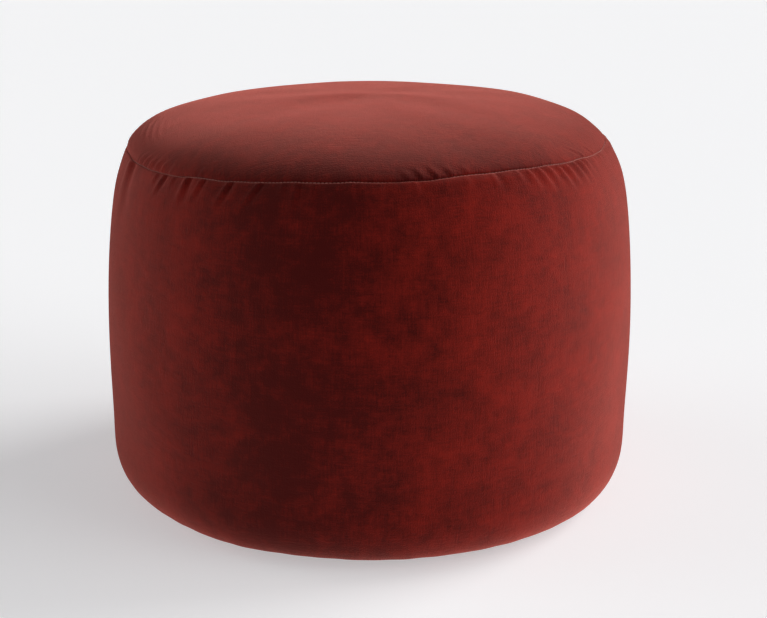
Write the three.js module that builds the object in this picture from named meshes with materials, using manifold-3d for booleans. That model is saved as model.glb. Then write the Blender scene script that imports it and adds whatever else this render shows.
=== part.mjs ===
// Round velvet floor cushion: a zipped cover over a liner bag that is full of polystyrene beads.
// Millimetres, +Z up. The origin is the middle of the footprint, on the floor.
// The zip crosses the base along X, and the side seams of the band stand at -X and +X.
import * as THREE from "three";
import { mergeVertices } from "three/addons/utils/BufferGeometryUtils.js";
import Module from "manifold-3d";

const wasm = await Module();
wasm.setup();

// Driving dimensions: the filled shape
const DIAMETER = 510; // across the widest part of the band
const HEIGHT = 376; // floor to the top of the crown
const WIDEST_HEIGHT = 120; // height of the widest circle
const WAIST_HANDLE = 100; // how far above that circle the band stays upright
const CROWN_RISE = 40; // top of the crown above the top seam
const CROWN_EDGE_IN = 24; // the crown's first handle, inwards from the top seam
const CROWN_EDGE_UP = 32; // the same handle, upwards
const CROWN_FLAT = 110; // radius over which the crown is nearly level
const TOP_SEAM_INSET = 25; // top seam inside the widest circle
const SHOULDER_INSET = 7; // the shoulder's handle, inside the widest circle
const SHOULDER_DROP = 36; // the same handle, below the top seam
const BASE_SEAM_INSET = 29; // base seam inside the widest circle
const BASE_SEAM_LIFT = 6; // base seam above the floor
const BASE_ROLL = 26; // width of the roll between the flat footprint and the base seam
const FOOT_HANDLE_IN = 5; // the foot's handle, inside the widest circle
const FOOT_HANDLE_UP = 7; // the same handle, above the base seam
const HEEL_HANDLE = 90; // how far below the widest circle the band stays upright

// Driving dimensions: cloth, seams and gaps
const VELVET = 1.6; // velvet with its pile
const LINER = 0.8; // liner cloth
const SEAM_ALLOWANCE = 12; // cloth turned in at each seam
const GAP = 0.35; // between cloths that lie on each other
const EASE = 1.0; // between the cover and the liner bag
const THREAD = 0.7; // sewing thread
const SIDE_SEAM_GAP = 1.4; // between the two lengths of band, for the thread
const LINER_SEAM_GAP = 3.8; // between the liner's panels, measured round its corner

// Driving dimensions: the zip
const ZIP_BED_HEIGHT = 8; // the zip is drawn up this far off the floor
const BED_MARGIN = 1.5; // level base beyond the turned edges or the tapes
const VALLEY_SLOPE = 34; // width of the slope from the level bed down to the floor
const LINER_SLOPE = 48; // the same on the liner bag
const ZIP_HEM = 10; // width of each turned edge
const TAPE_WIDTH = 15; // each tape
const TAPE = 0.8; // tape thickness
const TAPE_END_GAP = 10; // the tapes stop this far inside the base seam
const COIL_WIDTH = 2.4; // each coil
const COIL_HEIGHT = 2.2;
const COIL_SPLIT = 1.4; // between the coils, where the slider's post runs
const STOP_LENGTH = 3;
const TOP_STOP_INSET = 12; // the top stops stand this far inside the base seam
const BOTTOM_STOP_INSET = 34; // the bottom stop, at the other end
const STITCH_FROM_EDGE = 6; // stitching from the turned edge
const SLIDER_LENGTH = 12;
const SLIDER_WIDTH = 10;
const SLIDER_SIDE_GAP = 1.5; // between the slider and the turned edges
const SLIDER_PLATE = 1.1;
const SLIDER_POST = 0.7;
const SLIDER_POST_LENGTH = 3;
const SLIDER_PARK_GAP = 1; // between the slider and the stops when the zip is closed
const ZIP_RUN = 0.35; // running gap round the coil, the tapes and the slider
const ARCH_WIDTH = 2; // the arch that holds the pull
const ARCH_WALL = 1.1;
const PULL_BAR = 1.2; // the pull's thickness, and its bar inside the arch
const PULL_PLAY = 0.3; // play of the bar in the arch
const PULL_LENGTH = 28; // from the bar to the tip
const PULL_WIDTH = 7;
const PULL_ARM = 1.5; // each side of the eye
const PULL_EYE = 8; // length of the eye
const PULL_FLOOR_GAP = 0.3; // between the tip and the floor

// Driving dimensions: the label
const LABEL_LENGTH = 45;
const LABEL_WIDTH = 25;
const LABEL = 0.3;
const LABEL_FROM_ZIP = 95; // middle of the label from the zip

const SEGMENTS = 32; // sides of every round piece
const SIDE_STEPS = 10;
const SIDE_THREAD_STEPS = 24;
const CROWN_STEPS = 7;
const ROLL_STEPS = 3;
const SPARE = 40; // how far a cutting shape reaches past what it cuts

// Sizes that follow
const RADIUS = DIAMETER / 2;
const TOP_SEAM = new THREE.Vector2(RADIUS - TOP_SEAM_INSET, HEIGHT - CROWN_RISE);
const BASE_SEAM = new THREE.Vector2(RADIUS - BASE_SEAM_INSET, BASE_SEAM_LIFT);
const FOLD = 2 * VELVET + GAP; // a turned edge, both layers
const LEG = FOLD + GAP; // depth at which the second allowance starts
const STACK = LEG + VELVET; // depth of the whole seam
const LINER_DEPTH = STACK + 2 * GAP; // depth of the liner beside a seam
const TAPE_BOTTOM = ZIP_BED_HEIGHT + FOLD + GAP;
const TAPE_TOP = TAPE_BOTTOM + TAPE;
const COIL_TOP = TAPE_BOTTOM - GAP;
const COIL_BOTTOM = COIL_TOP - COIL_HEIGHT;
const SLIDER_TOP = TAPE_TOP + ZIP_RUN + SLIDER_PLATE;
const PLATE_BOTTOM = COIL_BOTTOM - ZIP_RUN - SLIDER_PLATE;
const PIVOT_HEIGHT = PLATE_BOTTOM - PULL_PLAY - PULL_BAR / 2;
const TOP_STOP_X = BASE_SEAM.x - TOP_STOP_INSET - STOP_LENGTH;
const BOTTOM_STOP_X = BOTTOM_STOP_INSET + STOP_LENGTH - BASE_SEAM.x;
const SLIDER_X = TOP_STOP_X - SLIDER_PARK_GAP - SLIDER_LENGTH / 2;
const COIL_EDGE = COIL_SPLIT / 2 + COIL_WIDTH;
const ZIP_EDGE = SLIDER_WIDTH / 2 + SLIDER_SIDE_GAP; // from the zip's middle to a turned edge
const BED_EDGE = Math.max(ZIP_EDGE + ZIP_HEM, COIL_SPLIT / 2 + TAPE_WIDTH) + BED_MARGIN;

const velvet = new THREE.MeshStandardMaterial({ color: 0x7a2a26, roughness: 0.95, metalness: 0 });
const thread = new THREE.MeshStandardMaterial({ color: 0x9a5a50, roughness: 0.8, metalness: 0 });
const tape = new THREE.MeshStandardMaterial({ color: 0x4a1512, roughness: 0.85, metalness: 0 });
const coil = new THREE.MeshStandardMaterial({ color: 0x3c100e, roughness: 0.45, metalness: 0 });
const steel = new THREE.MeshStandardMaterial({ color: 0xb9b9b6, roughness: 0.35, metalness: 1 });
const cotton = new THREE.MeshStandardMaterial({ color: 0xece8df, roughness: 0.9, metalness: 0 });
const beads = new THREE.MeshStandardMaterial({ color: 0xf6f6f4, roughness: 0.7, metalness: 0 });

// Shape helpers

/** A closed geometry as a solid for joins and cuts. */
function solid(geometry) {
  const bare = geometry.clone();
  bare.deleteAttribute("normal");
  bare.deleteAttribute("uv");
  const merged = mergeVertices(bare, 1e-4);
  return new wasm.Manifold(
    new wasm.Mesh({
      numProp: 3,
      vertProperties: new Float32Array(merged.attributes.position.array),
      triVerts: new Uint32Array(merged.index.array),
    }),
  );
}

/** A solid as a named mesh. */
function piece(name, shape, material) {
  const { vertProperties, triVerts } = shape.getMesh();
  const geometry = new THREE.BufferGeometry();
  geometry.setAttribute("position", new THREE.BufferAttribute(vertProperties, 3));
  geometry.setIndex(new THREE.BufferAttribute(triVerts, 1));
  geometry.computeVertexNormals();
  const mesh = new THREE.Mesh(geometry, material);
  mesh.name = name;
  return mesh;
}

/** A profile of (radius, height) points turned round the cushion's axis. */
function turned(points) {
  const geometry = new THREE.LatheGeometry(points, SEGMENTS);
  geometry.rotateX(Math.PI / 2);
  return solid(geometry);
}

/** The same for a loop that stays clear of the axis. */
function turnedLoop(points) {
  return turned([...points, points[0].clone()]);
}

/** A box between two corners. */
function block(low, high) {
  const size = high.map((value, i) => value - low[i]);
  const middle = high.map((value, i) => (value + low[i]) / 2);
  return solid(new THREE.BoxGeometry(...size).translate(...middle));
}

/** A section of (y, z) points, run along X. */
function barAlongX(section, fromX, toX) {
  const shape = new THREE.Shape(section.map(([y, z]) => new THREE.Vector2(y, z)));
  const geometry = new THREE.ExtrudeGeometry(shape, { depth: toX - fromX, bevelEnabled: false });
  const axes = [new THREE.Vector3(0, 1, 0), new THREE.Vector3(0, 0, 1), new THREE.Vector3(1, 0, 0)];
  geometry.translate(0, 0, fromX);
  geometry.applyMatrix4(new THREE.Matrix4().makeBasis(...axes));
  return solid(geometry);
}

/** Curves joined end to end; at(distance, depth) is a point that far along and that deep inside. */
function outline(...curves) {
  const path = new THREE.CurvePath();
  curves.forEach((curve) => path.add(curve));
  const length = path.getLength();
  return {
    length,
    at(distance, depth) {
      const share = THREE.MathUtils.clamp(distance / length, 0, 1);
      const tangent = path.getTangent(share);
      const inwards = new THREE.Vector2(-tangent.y, tangent.x);
      const beyond = distance - share * length;
      return path.getPoint(share).addScaledVector(inwards, depth).addScaledVector(tangent, beyond);
    },
  };
}

/** Points of an outline at some distances; depth may be a function of distance. */
function through(line, distances, depth) {
  return distances.map((distance) =>
    line.at(distance, typeof depth === "function" ? depth(distance) : depth),
  );
}

/** Evenly spaced numbers from one value to another, both included. */
function evenly(from, to, steps) {
  return Array.from({ length: steps + 1 }, (_, i) => THREE.MathUtils.lerp(from, to, i / steps));
}

/** The inner points of a half turn at a distance, from one depth to another; way is 1 or -1. */
function halfTurn(line, distance, fromDepth, toDepth, way, steps) {
  const radius = (fromDepth - toDepth) / 2;
  return Array.from({ length: steps }, (_, i) => {
    const angle = (Math.PI * (i + 1)) / (steps + 1);
    const reach = distance + way * Math.abs(radius) * Math.sin(angle);
    return line.at(reach, toDepth + radius + radius * Math.cos(angle));
  });
}

// Outlines, from the middle of the base round to the middle of the crown

const flatEdge = new THREE.Vector2(BASE_SEAM.x - BASE_ROLL, 0);
const widest = new THREE.Vector2(RADIUS, WIDEST_HEIGHT);
const baseLine = outline(
  new THREE.LineCurve(new THREE.Vector2(0, 0), flatEdge),
  new THREE.CubicBezierCurve(
    flatEdge,
    new THREE.Vector2(flatEdge.x + BASE_ROLL / 2, 0),
    new THREE.Vector2(BASE_SEAM.x - BASE_SEAM_LIFT, BASE_SEAM_LIFT / 2),
    BASE_SEAM,
  ),
);
const sideLine = outline(
  new THREE.CubicBezierCurve(
    BASE_SEAM,
    new THREE.Vector2(RADIUS - FOOT_HANDLE_IN, BASE_SEAM_LIFT + FOOT_HANDLE_UP),
    new THREE.Vector2(RADIUS, WIDEST_HEIGHT - HEEL_HANDLE),
    widest,
  ),
  new THREE.CubicBezierCurve(
    widest,
    new THREE.Vector2(RADIUS, WIDEST_HEIGHT + WAIST_HANDLE),
    new THREE.Vector2(RADIUS - SHOULDER_INSET, TOP_SEAM.y - SHOULDER_DROP),
    TOP_SEAM,
  ),
);
const crownLine = outline(
  new THREE.CubicBezierCurve(
    TOP_SEAM,
    new THREE.Vector2(TOP_SEAM.x - CROWN_EDGE_IN, TOP_SEAM.y + CROWN_EDGE_UP),
    new THREE.Vector2(CROWN_FLAT, HEIGHT),
    new THREE.Vector2(0, HEIGHT),
  ),
);

// Distances at which every layer has its corners, so that the facets of all layers stay parallel

const foldStops = [0, SEAM_ALLOWANCE / 2, SEAM_ALLOWANCE];
const sideStops = [
  ...foldStops.slice(1),
  ...evenly(2 * SEAM_ALLOWANCE, sideLine.length - 2 * SEAM_ALLOWANCE, SIDE_STEPS),
  ...foldStops.slice(1).map((distance) => sideLine.length - distance).reverse(),
];
const topFoldStops = foldStops.map((distance) => sideLine.length - distance);
const crownStops = evenly(0, 1, CROWN_STEPS).slice(1, -1).map((share) => crownLine.length * share ** 1.6);
const rollStops = evenly(flatEdge.x, baseLine.length - 3 * VELVET, ROLL_STEPS);
const backwards = (list) => [...list].reverse();

// The cover

/** The whole band, with its top and bottom edges folded over and turned down inside. */
function wholeBand() {
  const low = GAP / 2 + FOLD / 2;
  const high = sideLine.length - low;
  const inner = VELVET + GAP;
  const lowFold = [low, ...foldStops.slice(1)];
  const highFold = [high, ...topFoldStops.slice(1)];
  const wall = [low, ...sideStops, high];
  return turnedLoop([
    ...through(sideLine, wall, 0),
    ...halfTurn(sideLine, high, 0, FOLD, 1, 2),
    ...through(sideLine, highFold, FOLD),
    ...through(sideLine, backwards(highFold), inner),
    ...halfTurn(sideLine, high, inner, VELVET, 1, 1),
    ...through(sideLine, backwards(wall), VELVET),
    ...halfTurn(sideLine, low, VELVET, inner, -1, 1),
    ...through(sideLine, lowFold, inner),
    ...through(sideLine, backwards(lowFold), FOLD),
    ...halfTurn(sideLine, low, FOLD, 0, -1, 2),
  ]);
}

/** The half of a solid in front of (side -1) or behind (side 1) the XZ plane, less half a gap. */
function halfOf(whole, side, gap) {
  const reach = RADIUS + SPARE;
  const near = (side * gap) / 2;
  const far = side * reach;
  const low = [-reach, Math.min(near, far), -SPARE];
  const high = [reach, Math.max(near, far), HEIGHT + SPARE];
  return whole.intersect(block(low, high));
}

/** The top panel: a crown whose edge dives into the seam and hangs inside the band. */
function topPanel() {
  const seam = GAP / 2;
  return turned([
    new THREE.Vector2(0, HEIGHT - VELVET),
    ...through(crownLine, backwards(crownStops), VELVET),
    sideLine.at(sideLine.length + seam + VELVET / 2, STACK),
    ...through(sideLine, topFoldStops, STACK),
    ...through(sideLine, backwards(topFoldStops).slice(0, -1), LEG),
    sideLine.at(sideLine.length + seam, LEG),
    crownLine.at(seam, VELVET),
    crownLine.at(VELVET / 2, VELVET / 3),
    crownLine.at(VELVET * 1.5, 0),
    ...through(crownLine, crownStops, 0),
    new THREE.Vector2(0, HEIGHT),
  ]);
}

/** Everything above a valley along the zip, whose level bed slopes down to either side. */
function aboveValley(bed, slope, rise) {
  const reach = RADIUS + SPARE;
  const foot = BED_EDGE + slope;
  const floor = [
    [-reach, rise],
    [-foot, rise],
    [-BED_EDGE, bed + rise],
    [BED_EDGE, bed + rise],
    [foot, rise],
    [reach, rise],
  ];
  return barAlongX([...floor, [reach, HEIGHT], [-reach, HEIGHT]], -reach, reach);
}

/** The base before it is parted for the zip: level, rolled up to the seam and turned in there. */
function wholeBase() {
  const roof = ZIP_BED_HEIGHT + SPARE;
  const outside = turned([
    new THREE.Vector2(0, 0),
    ...through(baseLine, rollStops, 0),
    baseLine.at(baseLine.length - VELVET, 0),
    baseLine.at(baseLine.length - GAP / 2, VELVET),
    sideLine.at(-GAP / 2, LEG),
    ...through(sideLine, foldStops.slice(1), LEG),
    sideLine.at(SEAM_ALLOWANCE, STACK + GAP),
    new THREE.Vector2(0, roof),
  ]);
  const inside = turned([
    new THREE.Vector2(0, VELVET),
    ...through(baseLine, rollStops, VELVET),
    ...through(sideLine, foldStops, STACK),
    sideLine.at(SEAM_ALLOWANCE * 2, STACK),
    new THREE.Vector2(0, roof + SPARE),
  ]);
  const skin = outside.intersect(aboveValley(ZIP_BED_HEIGHT, VALLEY_SLOPE, 0));
  return skin.subtract(inside.intersect(aboveValley(ZIP_BED_HEIGHT, VALLEY_SLOPE, VELVET)));
}

/** The low and high Y of a strip on one side of the zip. */
function strip(side, inner, width) {
  return [side * inner, side * (inner + width)].sort((a, b) => a - b);
}

/** One half-moon of the base with its edge turned in beside the zip. */
function basePanel(side) {
  const reach = BASE_SEAM.x - TAPE_END_GAP - GAP;
  const top = ZIP_BED_HEIGHT + FOLD;
  const [foldLow, foldHigh] = strip(side, ZIP_EDGE, VELVET);
  const [hemLow, hemHigh] = strip(side, ZIP_EDGE, ZIP_HEM);
  const fold = block([-reach, foldLow, ZIP_BED_HEIGHT + VELVET / 2], [reach, foldHigh, top]);
  const hem = block([-reach, hemLow, top - VELVET], [reach, hemHigh, top]);
  return halfOf(wholeBase(), side, 2 * ZIP_EDGE).add(fold).add(hem);
}

/** A ring of thread that lies in the crease of a seam. */
function seamThread(centre) {
  const radius = THREAD / 2;
  const around = Array.from({ length: 4 }, (_, i) => {
    const angle = (i * Math.PI) / 2;
    return new THREE.Vector2(centre.x + radius * Math.cos(angle), centre.y + radius * Math.sin(angle));
  });
  return turnedLoop(around);
}

/** The thread of one side seam, up the band from fold to fold. */
function sideSeamThread(side) {
  const ends = FOLD + GAP;
  const points = through(sideLine, [ends, ...sideStops, sideLine.length - ends], VELVET / 2);
  const route = new THREE.CatmullRomCurve3(
    points.map((point) => new THREE.Vector3(side * point.x, 0, point.y)),
  );
  const section = new THREE.Shape(new THREE.EllipseCurve(0, 0, THREAD / 2, THREAD / 2).getPoints(6));
  const options = { steps: SIDE_THREAD_STEPS, bevelEnabled: false, extrudePath: route };
  return solid(new THREE.ExtrudeGeometry(section, options));
}

// The zip, which lies on the level bed across the base

function zipTape(side) {
  const [low, high] = strip(side, COIL_SPLIT / 2, TAPE_WIDTH);
  const reach = BASE_SEAM.x - TAPE_END_GAP;
  return block([-reach, low, TAPE_BOTTOM], [reach, high, TAPE_TOP]);
}

function zipCoil(side) {
  const [low, high] = strip(side, COIL_SPLIT / 2, COIL_WIDTH);
  return block([BOTTOM_STOP_X + GAP, low, COIL_BOTTOM], [TOP_STOP_X - GAP, high, COIL_TOP]);
}

function topStop(side) {
  const [low, high] = strip(side, COIL_SPLIT / 2, COIL_WIDTH);
  return block([TOP_STOP_X, low, COIL_BOTTOM], [TOP_STOP_X + STOP_LENGTH, high, COIL_TOP]);
}

function bottomStop() {
  const start = BOTTOM_STOP_X - STOP_LENGTH;
  return block([start, -COIL_EDGE, COIL_BOTTOM], [BOTTOM_STOP_X, COIL_EDGE, COIL_TOP]);
}

function zipStitching(side) {
  const [low, high] = strip(side, ZIP_EDGE + STITCH_FROM_EDGE - THREAD / 2, THREAD);
  const reach = BASE_SEAM.x - BASE_ROLL;
  const top = ZIP_BED_HEIGHT - GAP;
  return block([-reach, low, top - THREAD], [reach, high, top]);
}

/** Two plates on a post that parts the coils, with the arch for the pull underneath. */
function zipSlider() {
  const half = SLIDER_LENGTH / 2;
  const wide = SLIDER_WIDTH / 2;
  const archHalf = PULL_BAR / 2 + PULL_PLAY + ARCH_WALL;
  const archFloor = PIVOT_HEIGHT - PULL_BAR / 2 - PULL_PLAY - ARCH_WALL;
  const plateTop = PLATE_BOTTOM + SLIDER_PLATE;
  const windowHalf = archHalf - ARCH_WALL;
  const upper = block([-half, -wide, SLIDER_TOP - SLIDER_PLATE], [half, wide, SLIDER_TOP]);
  const lower = block([-half, -wide, PLATE_BOTTOM], [half, wide, plateTop]);
  const postY = SLIDER_POST / 2;
  const post = block([half - SLIDER_POST_LENGTH, -postY, PLATE_BOTTOM], [half, postY, SLIDER_TOP]);
  const archY = ARCH_WIDTH / 2;
  const arch = block([-archHalf, -archY, archFloor], [archHalf, archY, plateTop]);
  const window = block(
    [-windowHalf, -ARCH_WIDTH, archFloor + ARCH_WALL],
    [windowHalf, ARCH_WIDTH, PLATE_BOTTOM],
  );
  return upper.add(lower).add(post).add(arch.subtract(window));
}

/** A flat tab with an eye; its end bar lies along Y at its own origin, and it points along -X. */
function zipPull() {
  const half = PULL_BAR / 2;
  const wide = PULL_WIDTH / 2;
  const eye = wide - PULL_ARM;
  const bar = solid(new THREE.CylinderGeometry(half, half, PULL_WIDTH, 12));
  const tab = block([-PULL_LENGTH, -wide, -half], [0, wide, half]);
  const hole = block([-PULL_EYE, -eye, -PULL_BAR], [PULL_BAR, eye, PULL_BAR]);
  return tab.subtract(hole).add(bar);
}

// The liner bag and its filling

/** Depth of the liner at a distance along a line of a given length: deeper beside the seams. */
function linerDepth(distance, length) {
  const toSeam = Math.min(distance, length - distance);
  const beside = SEAM_ALLOWANCE + FOLD;
  const clear = 1 - THREE.MathUtils.smoothstep(toSeam, beside, beside * 2);
  return THREE.MathUtils.lerp(VELVET + EASE, LINER_DEPTH, clear);
}

/** Depth of the liner's crown, which only meets the seam at its start. */
function crownDepth(distance) {
  const clear = 1 - THREE.MathUtils.smoothstep(distance, VELVET * 2, VELVET * 8);
  return THREE.MathUtils.lerp(VELVET + EASE, LINER_DEPTH, clear);
}

const sideDepth = (distance) => linerDepth(distance, sideLine.length);
const linerStart = LINER_SEAM_GAP / 2; // where the liner's panels stop short of their seams
const linerSideStops = [linerStart, ...sideStops, sideLine.length - linerStart];
const linerCrownStops = [linerStart, ...crownStops];

function linerSide() {
  const inner = (distance) => sideDepth(distance) + LINER;
  return turnedLoop([
    ...through(sideLine, linerSideStops, sideDepth),
    ...through(sideLine, backwards(linerSideStops), inner),
  ]);
}

function linerTop() {
  const inner = (distance) => crownDepth(distance) + LINER;
  return turned([
    new THREE.Vector2(0, HEIGHT - VELVET - EASE - LINER),
    ...through(crownLine, backwards(linerCrownStops), inner),
    ...through(crownLine, linerCrownStops, crownDepth),
    new THREE.Vector2(0, HEIGHT - VELVET - EASE),
  ]);
}

const linerMiddle = LINER_DEPTH + LINER / 2; // depth of the middle of the liner beside a seam

/** The thread that joins two of the liner's panels, midway between their edges. */
function linerSeam(panelEdge, sideEdge) {
  return seamThread(panelEdge.add(sideEdge).multiplyScalar(0.5));
}

function linerTopSeam() {
  const sideEnd = sideLine.length - linerStart;
  return linerSeam(crownLine.at(linerStart, linerMiddle), sideLine.at(sideEnd, linerMiddle));
}

function linerBaseSeam() {
  const baseEnd = baseLine.length - linerStart;
  return linerSeam(baseLine.at(baseEnd, linerMiddle), sideLine.at(linerStart, linerMiddle));
}

/** The underside of the liner or its filling: level, then up beside the base seam. */
function linerFloor(extra) {
  const depth = VELVET + EASE + extra;
  const level = new THREE.Vector2(flatEdge.x - SEAM_ALLOWANCE, depth);
  const edge = baseLine.at(baseLine.length - linerStart, LINER_DEPTH + extra);
  return [new THREE.Vector2(0, depth), level, edge];
}

/** Everything above the liner's own valley, which clears the zip. */
function aboveLinerValley(rise) {
  return aboveValley(SLIDER_TOP + ZIP_RUN, LINER_SLOPE, rise);
}

function linerBase() {
  const roof = SLIDER_TOP + SPARE;
  const floor = linerFloor(0);
  const edge = floor[floor.length - 1];
  const raised = floor.map((point) => new THREE.Vector2(point.x, point.y + LINER));
  const outside = turned([...floor, new THREE.Vector2(edge.x, roof), new THREE.Vector2(0, roof)]);
  const inside = turned([
    ...raised,
    new THREE.Vector2(edge.x + SPARE, edge.y + SPARE / 2),
    new THREE.Vector2(edge.x + SPARE, roof + SPARE),
    new THREE.Vector2(0, roof + SPARE),
  ]);
  const skin = outside.intersect(aboveLinerValley(0));
  return skin.subtract(inside.intersect(aboveLinerValley(LINER)));
}

/** Loose beads, which fill the liner but for the corners at its seams. */
function beadFilling() {
  const inside = LINER + 1.5 * GAP;
  const bulk = turned([
    ...linerFloor(inside),
    ...through(sideLine, sideStops, (distance) => sideDepth(distance) + inside),
    ...through(crownLine, crownStops, (distance) => crownDepth(distance) + inside),
    new THREE.Vector2(0, HEIGHT - VELVET - EASE - inside),
  ]);
  return bulk.intersect(aboveLinerValley(inside));
}

/** A blank label that lies inside the back half of the base. */
function careLabel() {
  const bottom = VELVET + (EASE - LABEL) / 2;
  const near = LABEL_FROM_ZIP - LABEL_WIDTH / 2;
  return block(
    [-LABEL_LENGTH / 2, near, bottom],
    [LABEL_LENGTH / 2, near + LABEL_WIDTH, bottom + LABEL],
  );
}

// Assembly

const FRONT = -1;
const BACK = 1;
const LEFT = -1;
const RIGHT = 1;

const cushion = new THREE.Group();
const cover = new THREE.Group();
const zip = new THREE.Group();
const bag = new THREE.Group();
cushion.add(cover, zip, bag);

const band = wholeBand();
cover.add(
  piece("top_panel", topPanel(), velvet),
  piece("band_front", halfOf(band, FRONT, SIDE_SEAM_GAP), velvet),
  piece("band_back", halfOf(band, BACK, SIDE_SEAM_GAP), velvet),
  piece("base_panel_front", basePanel(FRONT), velvet),
  piece("base_panel_back", basePanel(BACK), velvet),
  piece("top_seam_thread", seamThread(sideLine.at(sideLine.length, THREAD / 2)), thread),
  piece("base_seam_thread", seamThread(sideLine.at(0, THREAD / 2)), thread),
  piece("side_seam_thread_left", sideSeamThread(LEFT), thread),
  piece("side_seam_thread_right", sideSeamThread(RIGHT), thread),
  piece("care_label", careLabel(), cotton),
);

zip.add(
  piece("zip_tape_front", zipTape(FRONT), tape),
  piece("zip_tape_back", zipTape(BACK), tape),
  piece("zip_coil_front", zipCoil(FRONT), coil),
  piece("zip_coil_back", zipCoil(BACK), coil),
  piece("zip_top_stop_front", topStop(FRONT), steel),
  piece("zip_top_stop_back", topStop(BACK), steel),
  piece("zip_bottom_stop", bottomStop(), steel),
  piece("zip_stitching_front", zipStitching(FRONT), thread),
  piece("zip_stitching_back", zipStitching(BACK), thread),
);

// The slider is parked at the closed end; its pull droops until the tip is just off the floor.
const slider = piece("zip_slider", zipSlider(), steel);
const pull = piece("zip_pull", zipPull(), steel);
const droop = Math.asin((PIVOT_HEIGHT - PULL_BAR / 2 - PULL_FLOOR_GAP) / PULL_LENGTH);
pull.position.z = PIVOT_HEIGHT;
pull.rotation.y = -droop;
const runner = new THREE.Group();
runner.position.x = SLIDER_X;
runner.add(slider, pull);
zip.add(runner);

bag.add(
  piece("liner_top", linerTop(), cotton),
  piece("liner_side", linerSide(), cotton),
  piece("liner_base", linerBase(), cotton),
  piece("liner_top_seam", linerTopSeam(), cotton),
  piece("liner_base_seam", linerBaseSeam(), cotton),
  piece("bead_filling", beadFilling(), beads),
);

export default cushion;
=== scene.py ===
"""Round velvet floor cushion: a zipped cover over a liner bag full of polystyrene beads.

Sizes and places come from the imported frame. Metres throughout. The cover's pieces are first
turned from one half section, and then settled: every layer moves with the same puckers,
creases and bulges, so that no layer cuts through its neighbour.
"""

import math
from collections import namedtuple

import bmesh
import bpy
import numpy as np
from bpy.props import FloatProperty, FloatVectorProperty, IntProperty, PointerProperty
from mathutils import Matrix, Vector, geometry


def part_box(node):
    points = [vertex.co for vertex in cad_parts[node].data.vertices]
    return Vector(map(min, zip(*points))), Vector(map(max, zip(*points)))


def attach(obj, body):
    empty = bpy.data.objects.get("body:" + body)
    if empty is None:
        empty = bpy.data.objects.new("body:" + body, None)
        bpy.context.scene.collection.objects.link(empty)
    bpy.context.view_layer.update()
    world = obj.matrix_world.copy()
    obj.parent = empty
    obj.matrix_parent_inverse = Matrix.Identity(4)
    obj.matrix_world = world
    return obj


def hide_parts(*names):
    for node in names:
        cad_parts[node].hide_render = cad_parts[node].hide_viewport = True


bl_info = {
    "name": "Velvet floor cushion",
    "version": (1, 0, 0),
    "blender": (4, 5, 0),
    "location": "3D View > Sidebar > Cushion",
    "description": "Builds a round velvet floor cushion with its zip, liner bag and filling",
    "category": "Object",
}

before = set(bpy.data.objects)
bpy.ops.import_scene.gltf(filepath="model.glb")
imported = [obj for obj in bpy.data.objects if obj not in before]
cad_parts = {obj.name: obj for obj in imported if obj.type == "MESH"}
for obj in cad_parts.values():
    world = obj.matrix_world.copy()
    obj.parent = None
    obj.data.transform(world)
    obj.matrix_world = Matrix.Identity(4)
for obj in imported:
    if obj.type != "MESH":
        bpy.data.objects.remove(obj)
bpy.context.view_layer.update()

MM = 0.001
TURN = 2 * math.pi
GAP = 0.18 * MM  # between two layers of cloth that are sewn together
BED = 8 * MM  # height of the level bed that the zip lies on
FRONT, REAR = -1, 1
SIDE_NAMES = {FRONT: "front", REAR: "rear"}
CAD_SIDES = {FRONT: "front", REAR: "back"}

TOP_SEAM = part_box("top_seam_thread")
BASE_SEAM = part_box("base_seam_thread")
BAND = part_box("band_front")
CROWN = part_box("top_panel")
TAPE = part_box("zip_tape_back")
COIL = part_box("zip_coil_back")
ZIP_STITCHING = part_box("zip_stitching_back")
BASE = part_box("base_panel_back")
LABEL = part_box("care_label")


def linear(code):
    """An sRGB hex colour as the linear RGBA that shaders take."""
    parts = [int(code[i : i + 2], 16) / 255 for i in (0, 2, 4)]
    return [c / 12.92 if c <= 0.04045 else ((c + 0.055) / 1.055) ** 2.4 for c in parts] + [1.0]


def length_property(name, description, default):
    return FloatProperty(
        name=name, description=description, default=default, unit="LENGTH", subtype="DISTANCE"
    )


def colour_property(name, description, code):
    return FloatVectorProperty(
        name=name,
        description=description,
        default=linear(code)[:3],
        size=3,
        min=0,
        max=1,
        subtype="COLOR",
    )


class CushionShape(bpy.types.PropertyGroup):
    """The filled shape."""

    diameter: length_property("Diameter", "Across the widest part of the band", 2 * BAND[1].x)
    height: length_property("Height", "Floor to the top of the crown", CROWN[1].z)
    top_seam_diameter: length_property("Top seam", "Across the top seam", 2 * TOP_SEAM[1].x)
    top_seam_height: length_property(
        "Top seam height", "Floor to the top seam", (TOP_SEAM[0].z + TOP_SEAM[1].z) / 2
    )
    base_seam_diameter: length_property("Base seam", "Across the base seam", 2 * BASE_SEAM[1].x)
    base_seam_height: length_property(
        "Base seam height", "Floor to the base seam", (BASE_SEAM[0].z + BASE_SEAM[1].z) / 2
    )


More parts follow.
